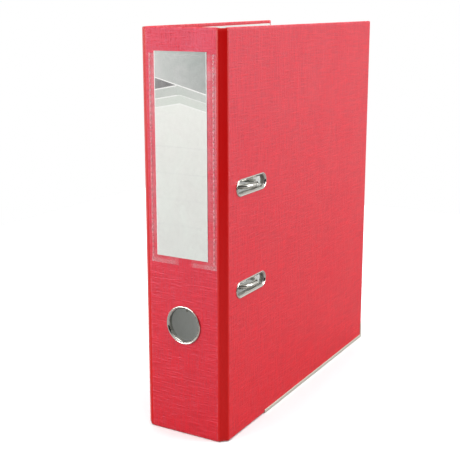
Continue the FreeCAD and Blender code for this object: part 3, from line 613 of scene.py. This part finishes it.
def softened(cad_name, name, body, material, radius, segments=2):
    """The pressed or moulded part of a CAD node, with its corners rounded as tooling leaves them."""
    bm = bmesh.new()
    bm.from_mesh(nodes[cad_name].data)
    bmesh.ops.remove_doubles(bm, verts=bm.verts, dist=1e-6)
    bmesh.ops.dissolve_limit(bm, angle_limit=math.radians(1), verts=bm.verts, edges=bm.edges)
    corners = [e for e in bm.edges if len(e.link_faces) == 2 and e.calc_face_angle(0) > math.radians(35)]
    bmesh.ops.bevel(bm, geom=corners, offset=radius * MM, segments=segments, profile=0.5,
                    affect="EDGES", clamp_overlap=True)
    made = finish_mesh(bm, name, [material], 40)
    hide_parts(cad_name)
    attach(made, body)
    return made


RAIL_CORNER = 0.16
rail_steel = metal_material("rail_steel", paint(214, 209, 196), 0.4, 900.0, metallic=0.45)
for side_name in ("front", "rear"):
    softened(f"{side_name}_edge_rail", f"{side_name}_rail", f"{side_name}_cover",
             rail_steel, RAIL_CORNER)


# --- label card ---
# A printed card in the pocket: white with a grey head, a dark wedge, two pale chevrons below it,
# and faint ruled lines to write on. It slides out of the pocket's open top.

# a printed line that bends once: 1 above it, 0 below it
print_line, given, result = effect_group(
    "print_line",
    [("X", "NodeSocketFloat", 0.0), ("Z", "NodeSocketFloat", 0.0), ("Peak X", "NodeSocketFloat", 0.0),
     ("Peak Z", "NodeSocketFloat", 0.0), ("Left slope", "NodeSocketFloat", 0.0),
     ("Right slope", "NodeSocketFloat", 0.0), ("Soft", "NodeSocketFloat", 0.0002)],
    [("Above", "NodeSocketFloat")])
from_peak = node(print_line, "ShaderNodeMath", {0: given.outputs["X"], 1: given.outputs["Peak X"]},
                 operation="SUBTRACT").outputs[0]
left = node(print_line, "ShaderNodeMath", {0: from_peak, 1: 0.0}, operation="MINIMUM").outputs[0]
right = node(print_line, "ShaderNodeMath", {0: from_peak, 1: 0.0}, operation="MAXIMUM").outputs[0]
height = node(print_line, "ShaderNodeMath", {0: left, 1: given.outputs["Left slope"],
                                             2: given.outputs["Peak Z"]},
              operation="MULTIPLY_ADD").outputs[0]
height = node(print_line, "ShaderNodeMath", {0: right, 1: given.outputs["Right slope"], 2: height},
              operation="MULTIPLY_ADD").outputs[0]
rise = node(print_line, "ShaderNodeMath", {0: given.outputs["Z"], 1: height}, operation="SUBTRACT").outputs[0]
share = node(print_line, "ShaderNodeMath", {0: rise, 1: given.outputs["Soft"]}, operation="DIVIDE").outputs[0]
above = node(print_line, "ShaderNodeMath", {0: share, 1: 0.5}, operation="ADD", use_clamp=True).outputs[0]
print_line.links.new(above, result.inputs["Above"])

card_print, tree, shader = new_material("card_print")
where = node(tree, "ShaderNodeTexCoord").outputs["Object"]
apart = node(tree, "ShaderNodeSeparateXYZ", {0: where})
card_x, card_z = apart.outputs["X"], apart.outputs["Z"]


def above_line(peak, left_slope, right_slope, soft=0.25):
    """Mask of the print above a bent line; peak is (x, z) in millimetres."""
    return use_group(tree, print_line, {
        "X": card_x, "Z": card_z, "Peak X": peak[0] * MM, "Peak Z": peak[1] * MM,
        "Left slope": left_slope, "Right slope": right_slope, "Soft": soft * MM}).outputs[0]


def combine(one, other, operation):
    return node(tree, "ShaderNodeMath", {0: one, 1: other}, operation=operation, use_clamp=True).outputs[0]


def ink(under, over, mask):
    return node(tree, "ShaderNodeMix", {0: mask, 6: under, 7: over}, data_type="RGBA").outputs[2]


# each line of the print is its peak (x, z) and its slopes to the left and the right
HEAD = ((-23.3, 281.7), -0.247, -0.247)
HEAD_BORDER = 0.9
WEDGE = ((-23.3, 272.3), 0.192, 0.192)
WEDGE_BORDER = 0.8
CHEVRONS = (((-0.8, 269.1), 0.189, -0.224), ((-0.9, 262.5), 0.184, -0.224))
CHEVRON_HALF = 0.35
RULES = (230.0, 210.0, 190.0, 170.0)
RULE_HALF = 0.3
MARGINS = (-22.8, 22.1)
MID_TONE_FROM = -3.5
chevron_grey = paint(180, 188, 180)
card_white = paint(238, 240, 236)
stock = node(tree, "ShaderNodeTexNoise", {"Vector": where, "Scale": 300.0, "Detail": 4.0})
fade = node(tree, "ShaderNodeMapRange", {"Value": card_z, "From Min": 0.14, "From Max": 0.262})
printed = ink(paint(212, 217, 211), paint(226, 229, 222), fade.outputs[0])
lower_band = above_line(*CHEVRONS[1], soft=1.2)
upper_band = above_line(*CHEVRONS[0])
printed = ink(printed, paint(202, 209, 200), lower_band)
printed = ink(printed, chevron_grey, upper_band)
for peak, left_slope, right_slope in CHEVRONS:
    low = above_line((peak[0], peak[1] - CHEVRON_HALF), left_slope, right_slope)
    high = above_line((peak[0], peak[1] + CHEVRON_HALF), left_slope, right_slope)
    printed = ink(printed, card_white, combine(low, high, "SUBTRACT"))
wedge = above_line(*WEDGE)
printed = ink(printed, paint(62, 68, 64), wedge)
wedge_low = above_line((WEDGE[0][0], WEDGE[0][1] - WEDGE_BORDER), *WEDGE[1:])
printed = ink(printed, card_white, combine(wedge_low, wedge, "SUBTRACT"))
right_part = node(tree, "ShaderNodeMath", {0: card_x, 1: MID_TONE_FROM * MM}, operation="GREATER_THAN")
body_tone = ink(chevron_grey, paint(184, 192, 184), fade.outputs[0])
printed = ink(printed, body_tone, combine(right_part.outputs[0], upper_band, "MULTIPLY"))
head = above_line(*HEAD)
head_low = above_line((HEAD[0][0], HEAD[0][1] - HEAD_BORDER), *HEAD[1:])
head_tone = node(tree, "ShaderNodeMapRange", {"Value": card_x, "From Min": -0.023, "From Max": 0.023})
head_grey = ink(paint(184, 190, 185), paint(142, 151, 146), head_tone.outputs[0])
printed = ink(printed, card_white, combine(head_low, head, "SUBTRACT"))
printed = ink(printed, head_grey, head)
for up in RULES:
    low, high = (above_line((0, up + side * RULE_HALF), 0, 0, 0.4) for side in (-1, 1))
    ruled = combine(low, high, "SUBTRACT")
    printed = ink(printed, paint(206, 210, 206), combine(ruled, 0.55, "MULTIPLY"))
for edge, beyond in zip(MARGINS, ("LESS_THAN", "GREATER_THAN")):
    margin = node(tree, "ShaderNodeMath", {0: card_x, 1: edge * MM}, operation=beyond).outputs[0]
    printed = ink(printed, card_white, margin)
handled = use_group(tree, wear_group, {"Position": where, "Edge": stock.outputs[0], "Clean": printed,
                                       "Rubbed": card_white, "Rub": 0.12, "Shade": stock.outputs[0],
                                       "Shade depth": 0.06})
matt = node(tree, "ShaderNodeMapRange", {"Value": handled.outputs["Patches"], "To Min": 0.45, "To Max": 0.65})
bump = node(tree, "ShaderNodeBump", {"Strength": 0.1, "Distance": 0.00006, "Height": stock.outputs[0]})
tree.links.new(handled.outputs["Color"], shader.inputs["Base Color"])
tree.links.new(matt.outputs[0], shader.inputs["Roughness"])
tree.links.new(bump.outputs[0], shader.inputs["Normal"])

softened("label_card", "label_card_printed", "label", card_print, 0.08, 1)


# --- label pocket ---
# Clear film, welded to the spine's foil down both sides and along the foot, with a gap in the
# foot weld for a thumb. The heated bars leave a row of small beads. The top is open.

POCKET = (-28.7, 30.7, 139.0, 299.0)
FILM = 0.25
FILM_RISE = 0.5
WELDS = ((-28.7, -25.6), (26.6, 30.7))
BEAD_LINES = (-27.3, 28.4)
BEAD_PITCH = 4.5
BEAD_HALF = 0.6
BEAD_ROWS = 6
FOOT_WELD = (139.0, 142.6)
FOOT_BEAD_PITCH = 1.5
THUMB = (-6.0, 9.0)
THUMB_DEPTH = 1.8
WELD_RISE = 0.12
WELD_STEP = 0.35
OPEN_COLUMNS = 14

clear_film, tree, shader = new_material("clear_film", Specular_IOR_Level=0.6)
where = node(tree, "ShaderNodeTexCoord").outputs["Object"]
milk_and_highlight = node(tree, "ShaderNodeAttribute", attribute_name="weld_milk_and_painted_highlight").outputs["Fac"]
bead_shade = node(tree, "ShaderNodeAttribute", attribute_name="weld_painted_shade").outputs["Fac"]
ripple = node(tree, "ShaderNodeTexNoise", {"Vector": where, "Scale": 45.0, "Detail": 3.0, "Distortion": 1.0})
veil = node(tree, "ShaderNodeMapRange", {"Value": ripple.outputs[0], "From Min": 0.35, "From Max": 0.7,
                                         "To Min": 0.02, "To Max": 0.10})
# on the bead crests the film turns more opaque and pinkish white, a painted highlight, as it does along the
# milky foot weld; in the dips between beads it turns more opaque and dark red, a painted shade
seen = node(tree, "ShaderNodeMath", {0: milk_and_highlight, 1: 0.36, 2: veil.outputs[0]}, operation="MULTIPLY_ADD")
seen = node(tree, "ShaderNodeMath", {0: bead_shade, 1: 0.40, 2: seen.outputs[0]}, operation="MULTIPLY_ADD")
smear = node(tree, "ShaderNodeMapRange", {"Value": ripple.outputs[0], "To Min": 0.08, "To Max": 0.28})
film_tint = node(tree, "ShaderNodeMix", {0: ripple.outputs[0], 6: paint(236, 214, 218),
                                         7: paint(246, 240, 242)}, data_type="RGBA")
film_tint = node(tree, "ShaderNodeMix", {0: milk_and_highlight, 6: film_tint.outputs[2], 7: paint(244, 150, 162)},
                 data_type="RGBA")
film_tint = node(tree, "ShaderNodeMix", {0: bead_shade, 6: film_tint.outputs[2], 7: paint(160, 8, 20)},
                 data_type="RGBA")
bump = node(tree, "ShaderNodeBump", {"Strength": 0.25, "Distance": 0.0006, "Height": ripple.outputs[0]})
tree.links.new(film_tint.outputs[2], shader.inputs["Base Color"])
tree.links.new(seen.outputs[0], shader.inputs["Alpha"])
tree.links.new(smear.outputs[0], shader.inputs["Roughness"])
tree.links.new(bump.outputs[0], shader.inputs["Normal"])


def film_columns():
    """Grid lines across the pocket, close together at the welds."""
    left, right = POCKET[0], POCKET[1]
    dense = [left + WELD_STEP * i for i in range(10)] + [right - WELD_STEP * i for i in range(13)]
    open_from, open_to = WELDS[0][1] + 0.4, WELDS[1][0] - 0.4
    wide = [open_from + i * (open_to - open_from) / OPEN_COLUMNS for i in range(OPEN_COLUMNS + 1)]
    return sorted(set(round(c, 3) for c in dense + wide))


def film_rise(x, z):
    """At a point of the pocket: height above the foil, the milky weld with painted highlight on bead crests,
    and painted shade in the dips between beads.
    """
    for beads in BEAD_LINES:
        if abs(x - beads) < BEAD_HALF:
            wave = math.cos(2 * math.pi * ((z - POCKET[2]) / BEAD_PITCH % 1.0))
            return 0.3 + 0.2 * wave, max(0.0, wave) ** 2, max(0.0, -wave) ** 2
    if z <= FOOT_WELD[1] and not THUMB[0] <= x <= THUMB[1]:
        wave = math.cos(2 * math.pi * ((x - POCKET[0]) / FOOT_BEAD_PITCH % 1.0))
        return 0.25 + 0.1 * wave, 0.22 + 0.1 * wave, 0.0
    if any(low - 0.01 <= x <= high + 0.01 for low, high in WELDS):
        return WELD_RISE, 0.0, 0.0
    return FILM_RISE, 0.0, 0.0


columns = film_columns()
bead_rows = int(round((POCKET[3] - POCKET[2]) / BEAD_PITCH * BEAD_ROWS))
levels = [POCKET[2] + (POCKET[3] - POCKET[2]) * i / bead_rows for i in range(bead_rows + 1)]
bm = bmesh.new()
milk_and_highlight_layer = bm.verts.layers.float.new("weld_milk_and_painted_highlight")
bead_shade_layer = bm.verts.layers.float.new("weld_painted_shade")
grid = {}
for i, x in enumerate(columns):
    for j, z in enumerate(levels):
        inside_notch = THUMB[0] < x < THUMB[1] and z < FOOT_WELD[1] + THUMB_DEPTH
        rise, milk_and_highlight, bead_shade = film_rise(x, z)
        for layer, thick in (("face", FILM), ("back", 0.0)):
            vertex = bm.verts.new((x * MM, (SPINE_FACE - rise - thick) * MM, z * MM))
            vertex[milk_and_highlight_layer] = milk_and_highlight
            vertex[bead_shade_layer] = bead_shade
            grid[i, j, layer] = (vertex, inside_notch)
panes = set()
for i in range(len(columns) - 1):
    for j in range(len(levels) - 1):
        ring = ((i, j), (i + 1, j), (i + 1, j + 1), (i, j + 1))
        if not all(grid[a, b, "face"][1] for a, b in ring):
            panes.add((i, j))
for i, j in panes:
    ring = ((i, j), (i + 1, j), (i + 1, j + 1), (i, j + 1))
    bm.faces.new([grid[a, b, "face"][0] for a, b in ring])
    bm.faces.new([grid[a, b, "back"][0] for a, b in reversed(ring)])
    for (di, dj), (a, b) in {(-1, 0): (ring[0], ring[3]), (1, 0): (ring[1], ring[2]),
                             (0, -1): (ring[0], ring[1]), (0, 1): (ring[3], ring[2])}.items():
        if (i + di, j + dj) not in panes:
            bm.faces.new((grid[(*a, "face")][0], grid[(*b, "face")][0],
                          grid[(*b, "back")][0], grid[(*a, "back")][0]))
bmesh.ops.delete(bm, geom=[v for v in bm.verts if not v.link_faces], context="VERTS")
pocket = finish_mesh(bm, "label_pocket_film", [clear_film], 60)
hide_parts("label_pocket")
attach(pocket, "spine")


# --- finger ring ---
# Two drawn nickel-plated cups, pressed together through the hole in the spine. The outer one has
# a rolled rim that stands just proud of the foil.

bright_nickel = metal_material("bright_nickel", paint(214, 212, 204), 0.10, 2200.0, 0.04)


def rolled_ring(name, outlines, place, material):
    """A closed band lofted through outlines that are given as (points, depth) pairs."""
    bm = bmesh.new()
    rings = [loop(bm, points, depth, place) for points, depth in outlines]
    for first, second in zip(rings, rings[1:] + rings[:1]):
        skin(bm, first, second)
    return finish_mesh(bm, name, [material], 50)


# the parts behind the polished rims are left unpolished and rougher, and painted darker: painted shade inside
# the hole and the slots
nickel_in_painted_shade = metal_material("nickel_in_painted_shade", paint(150, 149, 143), 0.45, 900.0)
ring_nickel = metal_material("ring_nickel", paint(214, 212, 204), 0.10, 900.0,
                             sleeve=((0, 1, 0), SPINE_FACE))
BORE = 13.3
RIM = 15.5
WALL = 0.6
ring_profile = [(RIM, 0.0), (RIM, -0.5), (RIM - 0.15, -0.95), (RIM - 0.45, -1.2), (RIM - 0.8, -1.2),
                (RIM - 1.2, -1.0), (RIM - 1.6, -0.65), (BORE + 0.3, -0.4), (BORE + 0.1, -0.15),
                (BORE + 0.05, 0.3), (BORE + 0.1, 2.0), (BORE + 0.2, 3.3), (BORE + WALL, 3.3),
                (BORE + WALL, 0.0)]
ring = rolled_ring("finger_ring_rim",
                   [(slot_outline(0, RING_UP, 2 * r, 2 * r, 40), depth) for r, depth in ring_profile],
                   on_spine, ring_nickel)
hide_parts("finger_ring_outer")
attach(ring, "spine")
# the inner cup takes the darker nickel, painted shade inside the hole
refinish(("finger_ring_inner",), nickel_in_painted_shade)


# --- slot eyelets ---
# Drawn nickel-plated eyelets line the two slots in the front cover, which slip over the arches
# and hold the closed file square. Plain rings back them on the inside.

inward = (on_front(0, 0, 1) - on_front(0, 0, 0)) / MM
eyelet_nickel = metal_material("eyelet_nickel", paint(214, 212, 204), 0.10, 900.0,
                               sleeve=(inward, inward.dot(on_front(0, 0, 0)) / MM))
eyelet_profile = [(2.3, 0.0), (2.28, -0.35), (2.1, -0.7), (1.75, -0.88), (1.35, -0.8), (1.0, -0.5),
                  (0.75, -0.2), (0.5, -0.02), (0.25, 0.2), (0.0, 0.6), (0.0, 3.8), (0.5, 3.8), (0.5, 0.1)]
for place_name, up in zip(("upper", "lower"), SLOT_UP):
    eyelet = rolled_ring(f"slot_eyelet_{place_name}_rim",
                         [(slot_outline(SLOT_T, up, SLOT_LONG + 2 * w, SLOT_WIDE + 2 * w, 20), depth)
                          for w, depth in eyelet_profile], on_front, eyelet_nickel)
    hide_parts(f"slot_eyelet_{place_name}")
    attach(eyelet, "front_cover")
# the backing rings take the darker nickel, painted shade inside the slots
refinish(("slot_backing_upper", "slot_backing_lower"), nickel_in_painted_shade)


# --- lever arch mechanism ---
# A plated base plate is riveted to the rear cover. It carries two fixed posts, the arches bent
# from one steel wire, the lift plate on their shaft, the lever with its roller, and a spring.

zinc_sheet = metal_material("zinc_sheet", paint(196, 198, 196), 0.32, 900.0)
spring_wire = metal_material("spring_wire", paint(176, 176, 172), 0.28, 3000.0)
worn_steel = metal_material("worn_steel", paint(168, 166, 160), 0.3, 1600.0)
THICK_CORNER = 0.25
THIN_CORNER = 0.2
softened("base_plate", "base_plate_pressed", "rear_cover", zinc_sheet, THICK_CORNER)
softened("lift_plate", "lift_plate_pressed", "arches", zinc_sheet, THIN_CORNER)
softened("lever", "lever_pressed", "lever", bright_nickel, THICK_CORNER)
refinish(("base_rivets", "post_upper", "post_lower", "arch_wire"), bright_nickel)
refinish(("lever_pin", "roller_pin"), worn_steel)
refinish(("opening_spring",), spring_wire)

moulded, tree, shader = new_material("black_moulded_plastic")
where = node(tree, "ShaderNodeTexCoord").outputs["Object"]
spark = node(tree, "ShaderNodeTexVoronoi", {"Vector": where, "Scale": 2600.0})
handled = use_group(tree, wear_group, {"Position": where, "Edge": spark.outputs[0],
                                       "Clean": paint(42, 43, 46), "Rubbed": paint(90, 92, 96), "Rub": 0.2,
                                       "Shade": spark.outputs[0], "Shade depth": 0.2})
gloss = node(tree, "ShaderNodeMapRange", {"Value": handled.outputs["Patches"], "To Min": 0.38,
                                          "To Max": 0.6})
bump = node(tree, "ShaderNodeBump", {"Strength": 0.2, "Distance": 0.00008, "Height": spark.outputs[0]})
tree.links.new(handled.outputs["Color"], shader.inputs["Base Color"])
tree.links.new(gloss.outputs[0], shader.inputs["Roughness"])
tree.links.new(bump.outputs[0], shader.inputs["Normal"])
refinish(("roller",), moulded)


# --- compressor bar ---
# A plated bar that slides on the two posts and presses the papers down. A black moulded clip
# at its middle locks it on the post wires.

CLIP_CORNER = 0.4
softened("compressor_bar", "compressor_bar_pressed", "compressor", zinc_sheet, THIN_CORNER)
softened("compressor_clip", "compressor_clip_moulded", "compressor", moulded,
         CLIP_CORNER, 3)
